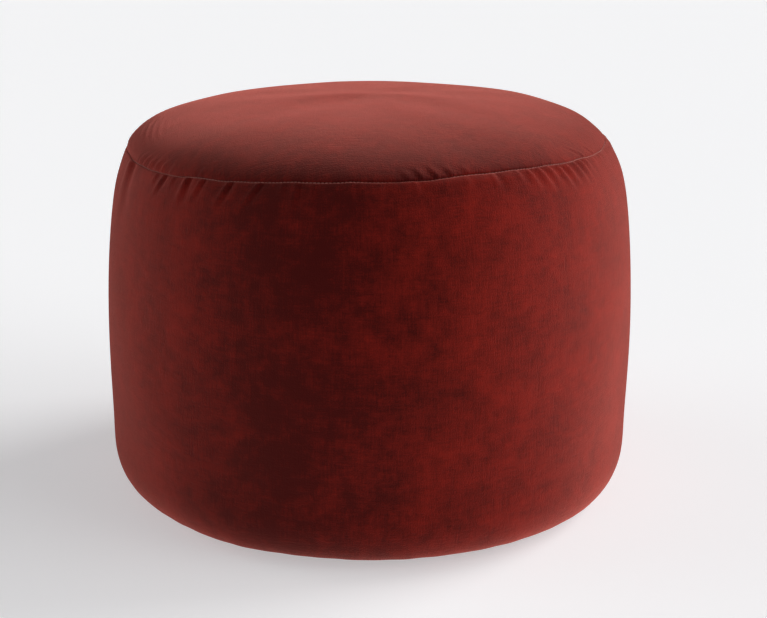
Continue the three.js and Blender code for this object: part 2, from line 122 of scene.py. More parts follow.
class CushionCloth(bpy.types.PropertyGroup):
    """How the cloth is cut, sewn and creased."""

    velvet: length_property("Velvet", "Thickness of the velvet with its pile", 1.6 * MM)
    liner: length_property("Liner", "Thickness of the liner cloth", 0.5 * MM)
    allowance: length_property("Seam allowance", "Cloth turned in at each seam", 12 * MM)
    stitch: length_property("Stitch", "Length of one lockstitch", 3.2 * MM)
    thread: length_property("Thread", "Thickness of the sewing thread", 0.55 * MM)
    crease: length_property("Crease", "How far the top seam is drawn in", 0.5 * MM)
    bulge: length_property("Bulge", "Height of the soft bulges that the beads make", 1.7 * MM)
    wander: length_property("Wander", "How far the top seam rises and falls", 5 * MM)
    puckering: FloatProperty(
        name="Puckering",
        # The simulation hardly puckers, so that twice its relief is an exaggeration.
        description="Strength of the simulated puckers beside the seams; 1 is as simulated",
        default=2.0,
        min=0,
        max=4,
    )
    segments: IntProperty(
        name="Segments", description="Steps round the cover", default=640, min=64, max=1024
    )


class CushionColours(bpy.types.PropertyGroup):
    """The colours of the materials."""

    nap_dark: colour_property("Nap, dark", "Velvet where the nap leans to the eye", "3c0303")
    nap_light: colour_property("Nap, light", "Velvet where the nap leans away", "7c160d")
    sheen: colour_property("Sheen", "Light caught by the tips of the pile", "d97a6f")
    thread: colour_property("Thread", "Sewing thread of the cover", "a8645a")
    tape: colour_property("Zip tape", "Woven tapes of the zip", "4a1512")
    coil: colour_property("Zip coil", "Nylon coils of the zip", "3c100e")
    metal: colour_property("Zip metal", "Plated slider, pull and stops", "b9b9b6")
    liner: colour_property("Liner", "Undyed cotton of the liner bag", "ece8df")
    beads: colour_property("Beads", "Polystyrene beads", "f6f6f4")
    floor: colour_property("Floor", "Seamless floor", "f2f2f4")


# The half section

FILLING_DEPTH = 10.6 * MM  # of the beads' face inside the cover's face

class Outline:
    """The cushion's half section, from the middle of the base round to the middle of the crown."""

    WIDEST_HEIGHT = 120 * MM
    FLAT_INSIDE = 26 * MM  # the part that rests on the floor ends this far inside the base seam
    # Handles of the curves, each measured from the end of the curve that it belongs to.
    FLOOR_HANDLE = Vector((13 * MM, 0))
    HEEL_HANDLE, HEEL_DROP = Vector((-5 * MM, 7 * MM)), 90 * MM
    WALL_RISE, SHOULDER_HANDLE = 100 * MM, Vector((-7 * MM, -36 * MM))
    CROWN_HANDLE, CROWN_FLAT = Vector((-24 * MM, 32 * MM)), 110 * MM
    STEPS = 80

    def __init__(self, shape):
        radius, height = shape.diameter / 2, shape.height
        top = Vector((shape.top_seam_diameter / 2, shape.top_seam_height))
        base = Vector((shape.base_seam_diameter / 2, shape.base_seam_height))
        widest = Vector((radius, self.WIDEST_HEIGHT))
        flat = Vector((base.x - self.FLAT_INSIDE, 0))
        heel = Vector((radius, base.y)) + self.HEEL_HANDLE
        below, above = (Vector((radius, widest.y + y)) for y in (-self.HEEL_DROP, self.WALL_RISE))
        shoulder = Vector((radius, top.y)) + self.SHOULDER_HANDLE
        middle = Vector((0, height))
        curves = [
            (Vector((0, 0)), Vector((flat.x / 3, 0)), Vector((flat.x * 2 / 3, 0)), flat),
            (flat, flat + self.FLOOR_HANDLE, Vector((base.x - base.y, base.y / 2)), base),
            (base, heel, below, widest),
            (widest, above, shoulder, top),
            (top, top + self.CROWN_HANDLE, Vector((self.CROWN_FLAT, height)), middle),
        ]
        points = []
        for start, leave, arrive, end in curves:
            corners = [p.to_3d() for p in (start, leave, arrive, end)]
            curve = [p.to_2d() for p in geometry.interpolate_bezier(*corners, self.STEPS)]
            points += curve[1 if points else 0 :]
        self.points = np.array(points)
        steps = np.linalg.norm(np.diff(self.points, axis=0), axis=1)
        self.along = np.concatenate([[0], np.cumsum(steps)])
        tangent = np.gradient(self.points, self.along, axis=0)
        tangent /= np.linalg.norm(tangent, axis=1)[:, None]
        self.inwards = np.stack([-tangent[:, 1], tangent[:, 0]], axis=1)
        self.length = self.along[-1]
        self.base_seam = self.nearest(np.array([base]))[0]
        self.widest = self.nearest(np.array([widest]))[0]
        self.top_seam = self.nearest(np.array([top]))[0]

    def at(self, along, depth=0.0):
        """(radius, height) of points that far along and that deep inside."""
        axes = range(2)
        along = np.asarray(along, float)
        place = np.stack([np.interp(along, self.along, self.points[:, i]) for i in axes], -1)
        inwards = np.stack([np.interp(along, self.along, self.inwards[:, i]) for i in axes], -1)
        return place + inwards * np.asarray(depth, float)[..., None]

    def nearest(self, section):
        """How far along the outline each (radius, height) point lies."""
        stride = 10
        rough = ((section[:, None, :] - self.points[None, ::stride, :]) ** 2).sum(axis=2)
        near = rough.argmin(axis=1)[:, None] * stride + np.arange(-stride, stride + 1)
        near = np.clip(near, 0, len(self.points) - 1)
        fine = ((section[:, None, :] - self.points[near]) ** 2).sum(axis=2)
        index = near[np.arange(len(near)), fine.argmin(axis=1)]
        inwards = self.inwards[index]
        tangent = np.stack([inwards[:, 1], -inwards[:, 0]], axis=1)
        slide = ((section - self.points[index]) * tangent).sum(axis=1)
        limit = self.length / len(self.points)
        return self.along[index] + np.clip(slide, -limit, limit)


def bump(x, width):
    return np.exp(-((x / width) ** 2))


def polar(points):
    """The (radius, height) and the angle of points."""
    section = np.stack([np.hypot(points[:, 0], points[:, 1]), points[:, 2]], axis=1)
    return section, np.arctan2(points[:, 1], points[:, 0])


def placed(section, angle, lift=0.0):
    """Points in space, given their (radius, height), their angle and how far they are lifted."""
    radius, height = section.T
    return np.stack([radius * np.cos(angle), radius * np.sin(angle), height + lift], axis=1)


def smooth(x):
    x = np.clip(x, 0, 1)
    return x * x * (3 - 2 * x)


def wrapped(angle):
    """An angle as the nearest turn from -180 to 180 degrees, in radians."""
    return (angle + math.pi) % TURN - math.pi


# How the cloth lies: folds that the stitching and the filling make

Fold = namedtuple("Fold", "angle side lean reach width height")
BELOW, ABOVE = -1, 1
# Folds beside the top seam. angle: degrees from +X towards +Y; side: BELOW on the band or ABOVE
# on the crown; lean: mm sideways for each mm from the seam; reach, width and height in mm.
FOLDS = [
    Fold(-158, BELOW, -0.1, 60, 8, 1.5),
    Fold(-141.5, BELOW, -0.5, 13, 1.8, 0.9),
    Fold(-138.5, BELOW, -0.6, 20, 2.2, 1.7),
    Fold(-135, BELOW, -0.5, 12, 1.8, 0.8),
    Fold(-131, BELOW, -0.35, 24, 3.2, 1.8),
    Fold(-126.5, BELOW, -0.5, 20, 2.0, 1.5),
    Fold(-119.5, BELOW, -0.55, 22, 2.3, 1.8),
    Fold(-112.5, BELOW, -0.7, 22, 2.3, 1.6),
    Fold(-107.5, BELOW, -0.1, 12, 1.7, 0.9),
    Fold(-104.5, BELOW, -0.15, 26, 1.9, 1.3),
    Fold(-101, BELOW, -0.1, 18, 1.7, 1.0),
    Fold(-96.5, BELOW, 0.0, 20, 1.7, 0.8),
    Fold(-93.5, BELOW, 0.05, 22, 1.9, 1.1),
    Fold(-88, BELOW, 0.15, 14, 1.9, 0.6),
    Fold(-81, BELOW, 0.3, 12, 2.0, 0.8),
    Fold(-70, BELOW, 0.2, 12, 2.0, 0.6),
    Fold(-64, BELOW, 0.3, 16, 2.6, 1.0),
    Fold(-58, BELOW, 0.4, 14, 2.0, 1.0),
    Fold(-55, BELOW, 0.5, 20, 2.0, 1.4),
    Fold(-52, BELOW, 0.6, 22, 2.1, 1.8),
    Fold(-49, BELOW, 0.6, 16, 1.9, 1.5),
    Fold(-46, BELOW, 0.6, 24, 2.2, 2.0),
    Fold(-43, BELOW, 0.6, 20, 2.0, 1.8),
    Fold(-40, BELOW, 0.6, 22, 2.1, 1.9),
    Fold(-37.2, BELOW, 0.6, 18, 2.0, 1.7),
    Fold(-34.5, BELOW, 0.5, 14, 1.9, 1.3),
    Fold(-30.5, BELOW, 0.4, 12, 2.0, 0.9),
    Fold(-26, BELOW, 0.3, 12, 2.0, 0.8),
    Fold(-153, ABOVE, 0.7, 12, 1.8, 1.2),
    Fold(-150, ABOVE, 0.7, 14, 1.8, 1.4),
    Fold(-147, ABOVE, 0.7, 12, 1.8, 1.3),
    Fold(-144, ABOVE, 0.6, 13, 1.8, 1.2),
    Fold(-141, ABOVE, 0.6, 12, 1.8, 1.1),
    Fold(-137.5, ABOVE, 0.6, 10, 1.8, 0.8),
    Fold(-128, ABOVE, 0.5, 10, 1.8, 0.6),
    Fold(-82, ABOVE, -0.4, 11, 1.9, 0.9),
    Fold(-79, ABOVE, -0.4, 13, 1.9, 1.4),
    Fold(-75.8, ABOVE, -0.4, 14, 1.9, 1.5),
    Fold(-72.5, ABOVE, -0.4, 12, 1.9, 1.2),
    Fold(-69, ABOVE, -0.4, 10, 1.9, 0.8),
    Fold(-33, ABOVE, -1.0, 15, 1.7, 1.1),
    Fold(-27, ABOVE, -0.8, 12, 1.7, 0.8),
    Fold(22, BELOW, 0.5, 20, 2.2, 1.5),
    Fold(26, BELOW, 0.5, 16, 2.0, 1.3),
    Fold(31, BELOW, 0.5, 20, 2.2, 1.6),
    Fold(58, BELOW, -0.4, 14, 2.2, 1.0),
    Fold(83, BELOW, 0.3, 18, 2.2, 1.4),
    Fold(87, BELOW, 0.3, 20, 2.2, 1.7),
    Fold(91, BELOW, 0.3, 14, 2.0, 1.2),
    Fold(119, BELOW, -0.5, 20, 2.2, 1.6),
    Fold(123, BELOW, -0.5, 16, 2.0, 1.4),
    Fold(127, BELOW, -0.5, 20, 2.2, 1.6),
    Fold(150, BELOW, 0.4, 16, 2.2, 1.2),
    Fold(45, ABOVE, 0.5, 12, 1.9, 1.2),
    Fold(48.5, ABOVE, 0.5, 13, 1.9, 1.3),
    Fold(101, ABOVE, -0.5, 13, 1.9, 1.3),
    Fold(105, ABOVE, -0.5, 12, 1.9, 1.1),
    Fold(137, ABOVE, 0.5, 12, 1.9, 1.1),
]
# How the folds' figures are drawn: their share of reach and width, and crest and trough.
FOLD_REACH, FOLD_WIDTH, FOLD_CREST, FOLD_TROUGH = 0.66, 0.92, 1.4, 1.3
# Soft bulges: (waves round, turn in degrees, waves along, shift, share).
BULGES = [
    (2, 20, 0.9, 0.1, 0.55),
    (3, 140, 1.6, 0.4, 0.45),
    (5, 60, 2.3, 0.75, 0.4),
    (8, 210, 3.1, 0.2, 0.24),
    (13, 100, 5.2, 0.55, 0.14),
]


class Lie:
    """Where the settled cloth lies, as outward relief over the turned shape."""

    def __init__(self, outline, cloth):
        self.outline, self.cloth = outline, cloth
        self.puckers = None

    def relief(self, angle, along):
        """Outward relief at places given by their angle and distance along the outline."""
        line = self.outline
        from_top, from_base = along - line.top_seam, along - line.base_seam
        radius = np.maximum(line.at(along)[..., 0], 1 * MM)
        off_floor = smooth((from_base + 12 * MM) / (40 * MM))
        creases = bump(from_top, 3.5 * MM) + bump(from_base, 6 * MM) * off_floor
        made = -self.cloth.crease * creases
        made += self.bulges(angle, along, radius) * off_floor
        made -= self.side_seams(angle, radius, from_top, from_base)
        made += self.folds(angle, from_top)
        made += self.heel(angle, from_base)
        made += self.ribs(angle, from_top)
        made += self.shoulders(angle, from_top)
        if self.puckers is not None:
            made += self.puckers.sample(angle, along) * off_floor
        return made

    def bulges(self, angle, along, radius):
        """Soft bulges that the beads make. They fade towards the middle of a panel."""
        made = np.zeros_like(angle)
        for waves, turn, up, shift, share in BULGES:
            round_it = np.cos(waves * angle + math.radians(turn))
            up_it = np.cos(TURN * (up * along / self.outline.length + shift))
            calm = smooth(radius / (waves * 14 * MM))
            made += self.cloth.bulge * share * round_it * up_it * calm
        return made

    def side_seams(self, angle, radius, from_top, from_base):
        """How far the side seams are drawn in: a narrow groove in a wide, shallow valley."""
        on_band = smooth(from_base / (20 * MM)) * smooth(-from_top / (20 * MM))
        made = np.zeros_like(angle)
        for seam in (0, math.pi):
            across = wrapped(angle - seam) * radius
            groove, valley = bump(across, 3.2 * MM), bump(across, 26 * MM)
            made += (1.5 * groove + 1.6 * valley) * MM * on_band
        return made

    def ripple(self, angle):
        return np.sin(37 * angle + 2 * np.sin(5 * angle)) + 0.7 * np.sin(61 * angle + 1.3)

    def heel(self, angle, from_base):
        """The heel over the base seam, and the fullness of the band above it."""
        heel = bump(from_base - 10 * MM, 14 * MM) * smooth(1 + from_base / (4 * MM))
        uneven = 0.12 * self.ripple(angle) + 0.3 * np.cos(9 * angle + 1) + 1.1
        return uneven * MM * heel + 3.2 * MM * bump(from_base - 34 * MM, 30 * MM)

    def ribs(self, angle, from_top):
        """Fine ripples under the top seam, and fine ribs that sweep back along the crown's edge."""
        made = 0.14 * MM * self.ripple(angle) * bump(from_top + 5 * MM, 9 * MM)
        # The ribs leave the seam at the far left.
        back = wrapped(-angle - math.radians(150))
        rib = np.sin(TURN * (from_top - 42 * MM * back) / (7 * MM))
        swept = smooth(back / 0.2) * smooth((1.2 - back) / 0.5)
        return made + 0.34 * MM * rib * swept * bump(from_top - 24 * MM, 20 * MM)

    def shoulders(self, angle, from_top):
        """The shoulders are drawn in at the two ends, and the crown is full at the back right."""
        drawn = np.cos(angle) ** 4 * (3.0 + 1.4 * np.cos(angle)) * bump(from_top - 1 * MM, 24 * MM)
        full = 2.2 * bump(wrapped(angle - 1.1), 0.6) * bump(from_top - 60 * MM, 45 * MM)
        return (full - drawn) * MM

    def folds(self, angle, from_top):
        made = np.zeros_like(angle)
        seam_radius = self.outline.at(self.outline.top_seam)[0]
        for fold in FOLDS:
            away = from_top * fold.side
            reach, width = FOLD_REACH * fold.reach * MM, FOLD_WIDTH * fold.width * MM
            across = wrapped(angle - math.radians(fold.angle)) * seam_radius
            across -= fold.lean * np.maximum(away, 0)
            spread = width * (0.75 + 0.5 * np.clip(away / reach, 0, 1))
            rise = smooth((away + 1 * MM) / (4 * MM)) * np.exp(-np.maximum(away, 0) / reach)
            rise = rise * (1 - smooth((away - 0.9 * reach) / (1.1 * reach)))
            crest = FOLD_CREST * bump(across, spread)
            trough = FOLD_TROUGH * bump(across + fold.side * 1.8 * spread, spread)
            made += fold.height * MM * (crest - trough) * rise
        return made

    def slid(self, angle, along):
        """How far the seam's own path slides cloth along the outline, towards the crown."""
        line = self.outline
        path = np.cos(2 * (angle + math.radians(60))) + 0.5 * np.cos(angle)
        path += 0.12 * np.cos(7 * angle + 1) + 0.08 * np.cos(11 * angle) + bump(angle, 0.4)
        path += 0.05 * np.tanh(4 * np.sin(19 * angle)) + 0.05 * np.sin(31 * angle + 2)
        return self.cloth.wander * path * bump(along - line.top_seam, 70 * MM)

    def lifted(self, across, along):
        """How far the zip's level bed, and the slopes beside it, lift the base off the floor."""
        line = self.outline
        level, foot = 18 * MM, 52 * MM
        valley = BED * smooth((foot - np.abs(across)) / (foot - level))
        within = np.minimum(along, line.base_seam)
        rise = np.maximum(valley - line.at(within)[..., 1], 0)
        return rise * np.exp(-np.maximum(along - line.base_seam, 0) / (12 * MM))

    def settle(self, points):
        """Points of the turned shape, moved with the cloth."""
        line = self.outline
        section, angle = polar(points)
        along = line.nearest(section)
        inwards = line.at(along, 1.0) - line.at(along)
        depth = ((section - line.at(along)) * inwards).sum(axis=1)
        moved = line.at(along + self.slid(angle, along), depth - self.relief(angle, along))
        return placed(moved, angle, self.lifted(points[:, 1], along))


class Puckers:
    """Simulated puckers on a grid of angles and distances along the outline."""

    CELL = 6 * MM

    def __init__(self, outline, angle, along, height):
        self.outline = outline
        self.rounds = 270
        self.rows = int(outline.length / self.CELL) + 2
        total = np.zeros((self.rounds, self.rows))
        weight = np.zeros_like(total)
        for cell, share in self.corners(angle, along / self.CELL):
            np.add.at(total, cell, share * height)
            np.add.at(weight, cell, share)
        while (weight < 0.05).any():
            total, weight = self.blurred(total, 1), self.blurred(weight, 1) + 1e-9
        self.grid = total / weight

    def corners(self, angle, j):
        """The four cells round each place, each with its share."""
        i = (angle / TURN % 1) * self.rounds
        for di in (0, 1):
            for dj in (0, 1):
                a, b = np.floor(i).astype(int) + di, np.floor(j).astype(int) + dj
                share = (1 - np.abs(i - a)) * (1 - np.abs(j - b))
                yield (a % self.rounds, np.clip(b, 0, self.rows - 1)), share

    @staticmethod
    def blurred(grid, times):
        """The grid after that many passes of a short blur; it wraps round and stops at the ends."""
        for _ in range(times):
            grid = (np.roll(grid, 1, 0) + 2 * grid + np.roll(grid, -1, 0)) / 4
            ended = np.pad(grid, ((0, 0), (1, 1)), mode="edge")
            grid = (ended[:, :-2] + 2 * ended[:, 1:-1] + ended[:, 2:]) / 4
        return grid

    def sharpen(self, strength, limit):
        """Keeps only the puckers: what is left over a wide blur, softened and held to a limit."""
        fine = self.blurred(self.grid, 1) - self.blurred(self.grid, 22)
        self.grid = np.clip(fine * strength, -limit, limit)

    def sample(self, angle, along):
        """The puckers' height at places given by their angle and distance along the outline."""
        made = np.zeros_like(angle)
        for cell, share in self.corners(angle, np.clip(along / self.CELL, 0, self.rows - 1.001)):
            made += share * self.grid[cell]
        return made


# Mesh helpers


def object_of(bm, name):
    """A bmesh as a smooth object in the scene."""
    mesh = bpy.data.meshes.new(name)
    bm.to_mesh(mesh)
    bm.free()
    made = bpy.data.objects.new(name, mesh)
    bpy.context.scene.collection.objects.link(made)
    mesh.shade_smooth()
    return made


def points_of(mesh):
    points = np.zeros(len(mesh.vertices) * 3)
    mesh.vertices.foreach_get("co", points)
    return points.reshape(-1, 3)


def turned(section, start=0.0, sweep=TURN, steps=64):
    """A section of (radius, height) points turned about the cushion's axis.

    One sector is spun and then repeated, which is far quicker than one long spin.
    """
    sectors = 16
    sector = bmesh.new()
    verts = [sector.verts.new((r * math.cos(start), r * math.sin(start), z)) for r, z in section]
    edges = [sector.edges.new(pair) for pair in zip(verts, verts[1:])]
    bmesh.ops.spin(
        sector,
        geom=verts + edges,
        cent=(0, 0, 0),
        axis=(0, 0, 1),
        angle=sweep / sectors,
        steps=steps // sectors,
    )
    bm = repeated(sector, [Matrix.Rotation(sweep * k / sectors, 4, "Z") for k in range(sectors)])
    bmesh.ops.remove_doubles(bm, verts=bm.verts, dist=2e-6)
    return bm


def next_row(bm, edges):
    """Extrudes a row of edges; gives the new row's points and edges."""
    pulled = bmesh.ops.extrude_edge_only(bm, edges=edges)["geom"]
    verts = {g for g in pulled if isinstance(g, bmesh.types.BMVert)}
    lines = [g for g in pulled if isinstance(g, bmesh.types.BMEdge) and g.is_boundary]
    return list(verts), [e for e in lines if verts.issuperset(e.verts)]


def face_out(bm, middle=(0, 0, 0.18)):
    """Makes all faces point the same way, away from a middle."""
    bmesh.ops.recalc_face_normals(bm, faces=bm.faces)
    middle = Vector(middle)
    lean = sum((f.calc_center_median() - middle).dot(f.normal) * f.calc_area() for f in bm.faces)
    if lean < 0:
        bmesh.ops.reverse_faces(bm, faces=bm.faces)


def sewn_cloth(bm, name, lie, pattern, thickness):
    """Settles a cut of cloth, gives it its woven coordinates and its thickness."""
    made = object_of(bm, name)
    mesh = made.data
    points = points_of(mesh)
    if pattern == "round":
        section, angle = polar(points)
        if "rear" not in name:
            angle = np.where(points[:, 1] > 0, angle, angle % TURN)
        widest = lie.outline.points[:, 0].max()
        cut = np.stack([angle * widest, lie.outline.nearest(section)], axis=1)
    else:
        cut = points[:, 1::-1]  # the warp of the flat panels runs from side to side
    loops = np.zeros(len(mesh.loops), np.int32)
    mesh.loops.foreach_get("vertex_index", loops)
    mesh.uv_layers.new(name="cut").data.foreach_set("uv", cut[loops].ravel())
    mesh.vertices.foreach_set("co", lie.settle(points).ravel())
    mesh.update()
    wall = made.modifiers.new("thickness", "SOLIDIFY")
    wall.thickness = thickness
    wall.offset = -1
    wall.use_quality_normals = True
    return made


def ride(made, cad):
    """Puts a piece on the cushion's body, in place of its CAD node."""
    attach(made, "cushion")
    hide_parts(cad)


def graded(start, end, fine_start, fine_end, fine=2 * MM, coarse=6 * MM, zone=56 * MM):
    """Distances from start to end: fine steps in a zone beside a seam, coarse ones elsewhere."""
    stops, place = [start], start
    while place < end - fine * 0.6:
        near = min(
            place - start if fine_start else math.inf, end - place if fine_end else math.inf
        )
        place += fine + (coarse - fine) * float(smooth((near - zone) / (0.5 * zone)))
        stops.append(min(place, end))
    stops[-1] = end
    return stops


def stitches(route, length, thickness, gap=0.22):
    """Lockstitches laid end to end along a route of points: slim grains that dip at each hole."""
    grain = bmesh.new()
    bmesh.ops.create_uvsphere(grain, u_segments=6, v_segments=5, radius=1)
    steps = np.linalg.norm(np.diff(route, axis=0), axis=1)
    along = np.concatenate([[0], np.cumsum(steps)])
    count = max(1, round(along[-1] / length))
    pitch = along[-1] / count
    places = []
    for k in range(count):
        ends = [(k + gap / 2) * pitch, (k + 1 - gap / 2) * pitch]
        start, end = (Vector([np.interp(e, along, route[:, i]) for i in range(3)]) for e in ends)
        turn = (end - start).to_track_quat("Z", "Y").to_matrix().to_4x4()
        size = Matrix.Diagonal((thickness / 2, thickness / 2, (end - start).length / 2 * 1.08, 1))
        places.append(Matrix.Translation((start + end) / 2) @ turn @ size)
    return repeated(grain, places)


def repeated(shape, places):
    """Copies of a shape, one at each place."""
    mesh = bpy.data.meshes.new("shape")
    shape.to_mesh(mesh)
    shape.free()
    bm = bmesh.new()
    for place in places:
        copy = mesh.copy()
        copy.transform(place)
        bm.from_mesh(copy)
        bpy.data.meshes.remove(copy)
    bpy.data.meshes.remove(mesh)
    return bm


def lying(lie, angles, along, depth):
    """A route of points on the settled cloth, given angles, a distance along and a depth."""
    along = np.broadcast_to(along, np.shape(angles)).astype(float)
    return lie.settle(placed(lie.outline.at(along, depth), angles))


# Materials


def feed(tree, made, links):
    """Fills a node's sockets. links: (socket, value or output to join)."""
    for socket, value in links:
        if isinstance(value, bpy.types.NodeSocket):
            tree.links.new(value, made.inputs[socket])
        else:
            made.inputs[socket].default_value = value


def node(tree, kind, links=(), **settings):
    """Adds a shader node with its settings and its links."""
    made = tree.nodes.new(kind)
    for name, value in settings.items():
        setattr(made, name, value)
    feed(tree, made, links)
    return made


def material(name):
    """A bare material, with its tree and its shader."""
    made = bpy.data.materials.new(name)
    made.use_nodes = True
    tree = made.node_tree
    shader = next(n for n in tree.nodes if n.type == "BSDF_PRINCIPLED")
    return made, tree, shader


# The velvet's grain: name, width and length in mm, place, detail, low, high, share of the nap's
# lean and share of the relief. Warp lines are really 0.5 mm apart; they are drawn 1.5 mm apart,
# an exaggeration, to show at arm's length.
GRAIN = [
    ("warp", 1.5, 20, 0, 3, 0.32, 0.68, 0.26, 0.35),
    ("weft", 18, 1.7, 3, 3, 0.32, 0.68, 0.2, 0.35),
    ("patches", 44, 52, 7, 5, 0.36, 0.68, 0.5, 0.0),
    ("brushed", 14, 10, 11, 5, 0.36, 0.66, 0.36, 0.4),
    ("pile", 1.2, 1.2, 5, 2, 0.34, 0.66, 0.3, 0.7),
]


def velvet_grain(tree, cut):
    """The lean of the nap and the relief of the pile, as two outputs."""
    nap, relief = -0.16, 0.0
    for name, across, along, place, detail, low, high, of_nap, of_relief in GRAIN:
        scale = (1 / (across * MM), 1 / (along * MM), 1)
        mapping = [("Vector", cut), ("Scale", scale), ("Location", (place, 0, 0))]
        spot = node(tree, "ShaderNodeMapping", mapping, label=name).outputs[0]
        rough = [("Vector", spot), ("Scale", 1.0), ("Detail", detail), ("Roughness", 0.64)]
        noise = node(tree, "ShaderNodeTexNoise", rough).outputs[0]
        level = node(
            tree, "ShaderNodeMapRange", [("Value", noise), (1, low), (2, high)]
        ).outputs[0]
        nap, relief = (
            node(
                tree,
                "ShaderNodeMath",
                [(0, level), (1, share), (2, so_far)],
                operation="MULTIPLY_ADD",
            ).outputs[0]
            for share, so_far in ((of_nap, nap), (of_relief, relief))
        )
    return nap, relief


def painted_shade_sweeps(tree, cut, nap):
    """The nap, darkened by painted shade in two broad sweeps, on the front and the crown."""
    round_it = node(tree, "ShaderNodeSeparateXYZ", [("Vector", cut)]).outputs["X"]
    # Painted shade: one broad dark sweep left of the middle of the front, between two distances
    # round the cut, and one on the crown's front. The crown's flat cut runs below zero towards
    # its front.
    begun, ended, front = (
        node(tree, "ShaderNodeMapRange", [("Value", round_it), (1, low), (2, high)]).outputs[0]
        for low, high in ((1.01, 1.11), (1.3, 1.15), (-0.1, -0.2))
    )
    within = node(
        tree, "ShaderNodeMath", [(0, begun), (1, ended)], operation="MULTIPLY"
    ).outputs[0]
    # Each sweep lowers the nap and so darkens the colour there: painted shade.
    for place, share in ((within, -0.5), (front, -0.42)):
        nap = node(
            tree, "ShaderNodeMath", [(0, place), (1, share), (2, nap)], operation="MULTIPLY_ADD"
        ).outputs[0]
    return nap


def velvet(name, cloth_colours):
    """Cotton velvet, woven and cut to a short pile.

    The pile gives deep colour face on and a pale bloom at the edges. Patches lie a little
    differently where hands and folding have turned the nap, and the warp shows as fine,
    broken, upright lines.
    """
    made, tree, shader = material(name)
    cut = node(tree, "ShaderNodeUVMap", uv_map="cut").outputs["UV"]
    nap, relief = velvet_grain(tree, cut)
    # Two broad sweeps of painted shade darken the nap, on the front and on the crown's front.
    nap = painted_shade_sweeps(tree, cut, nap)
    lean = node(tree, "ShaderNodeMapRange", [("Value", nap), (1, 0.05), (2, 1.15)]).outputs[0]
    dark, light = (*cloth_colours.nap_dark, 1), (*cloth_colours.nap_light, 1)
    # The base colour: the nap's random tone, darker still in the two sweeps of painted shade.
    coloured = node(
        tree, "ShaderNodeMix", [("Factor", lean), ("A", dark), ("B", light)], data_type="RGBA"
    )
    raised = node(
        tree, "ShaderNodeBump", [("Height", relief), ("Distance", 0.4 * MM), ("Strength", 0.55)]
    )
    feed(tree, shader, [
        ("Base Color", coloured.outputs["Result"]),
        ("Normal", raised.outputs["Normal"]),
        ("Roughness", 0.92),
        ("Specular IOR Level", 0.03),
        ("Sheen Weight", 1.0),
        ("Sheen Roughness", 0.5),
        ("Sheen Tint", (*cloth_colours.sheen, 1)),
    ])
    return made


def shaded(colour, share):
    """A darker shade of a colour, as RGBA."""
    return [c * share for c in colour] + [1]


def woven(name, colour, across, roughness, strength, sheen=0.1, axes="xy"):
    """A plain woven or twisted textile: two crossed waves raise the threads; their hollows hold
    painted shade.
    """
    made, tree, shader = material(name)
    place = node(tree, "ShaderNodeTexCoord").outputs["Object"]
    wave = [("Vector", place), ("Scale", 0.314 / across), ("Distortion", 0.6), ("Detail", 1.0)]
    waves = [
        node(tree, "ShaderNodeTexWave", wave, bands_direction=axis.upper()).outputs["Fac"]
        for axis in axes
    ]
    slub = node(
        tree, "ShaderNodeTexNoise", [("Vector", place), ("Scale", 1 / (9 * MM)), ("Detail", 3.0)]
    ).outputs["Fac"]
    crossed = node(
        tree, "ShaderNodeMath", [(0, waves[0]), (1, waves[-1])], operation="MULTIPLY"
    ).outputs[0]
    height = node(tree, "ShaderNodeMath", [(0, crossed), (1, slub)], operation="ADD").outputs[0]
    # The colour is painted darker where the threads sink, as painted shade, and the slubs vary it
    # at random.
    dark, light = shaded(colour, 0.72), shaded(colour, 1)
    coloured = node(
        tree, "ShaderNodeMix", [("Factor", height), ("A", dark), ("B", light)], data_type="RGBA"
    )
    rise = [("Height", height), ("Distance", 0.15 * MM), ("Strength", strength)]
    raised = node(tree, "ShaderNodeBump", rise)
    feed(tree, shader, [
        ("Base Color", coloured.outputs["Result"]),
        ("Normal", raised.outputs["Normal"]),
        ("Roughness", roughness),
        ("Sheen Weight", sheen),
    ])
    return made


def plated(name, colour):
    """Zinc alloy, die cast and nickel plated: a satin grey shine with faint tumbling marks."""
    made, tree, shader = material(name)
    place = node(tree, "ShaderNodeTexCoord").outputs["Object"]
    marks = node(
        tree, "ShaderNodeTexNoise", [("Vector", place), ("Scale", 1 / (1.5 * MM)), ("Detail", 5.0)]
    ).outputs["Fac"]
    rough = node(
        tree, "ShaderNodeMapRange", [("Value", marks), (1, 0.3), (2, 0.7), (3, 0.26), (4, 0.42)]
    ).outputs["Result"]
    dark, light = shaded(colour, 0.86), shaded(colour, 1)
    worn = node(
        tree, "ShaderNodeMix", [("Factor", marks), ("A", dark), ("B", light)], data_type="RGBA"
    )
    raised = node(
        tree, "ShaderNodeBump", [("Height", marks), ("Distance", 0.02 * MM), ("Strength", 0.4)]
    )
    feed(tree, shader, [
        ("Base Color", worn.outputs["Result"]),
        ("Roughness", rough),
        ("Normal", raised.outputs["Normal"]),
        ("Metallic", 1.0),
    ])
    return made


def nylon(name, colour):
    """Nylon monofilament, dyed and set into a coil: smooth, with a soft plastic shine."""
    made, tree, shader = material(name)
    place = node(tree, "ShaderNodeTexCoord").outputs["Object"]
    cloud = node(
        tree, "ShaderNodeTexNoise", [("Vector", place), ("Scale", 1 / (4 * MM)), ("Detail", 2.0)]
    ).outputs["Fac"]
    dark, light = shaded(colour, 0.8), shaded(colour, 1)
    coloured = node(
        tree, "ShaderNodeMix", [("Factor", cloud), ("A", dark), ("B", light)], data_type="RGBA"
    )
    feed(tree, shader, [
        ("Base Color", coloured.outputs["Result"]), ("Roughness", 0.36), ("IOR", 1.53),
    ])
    return made


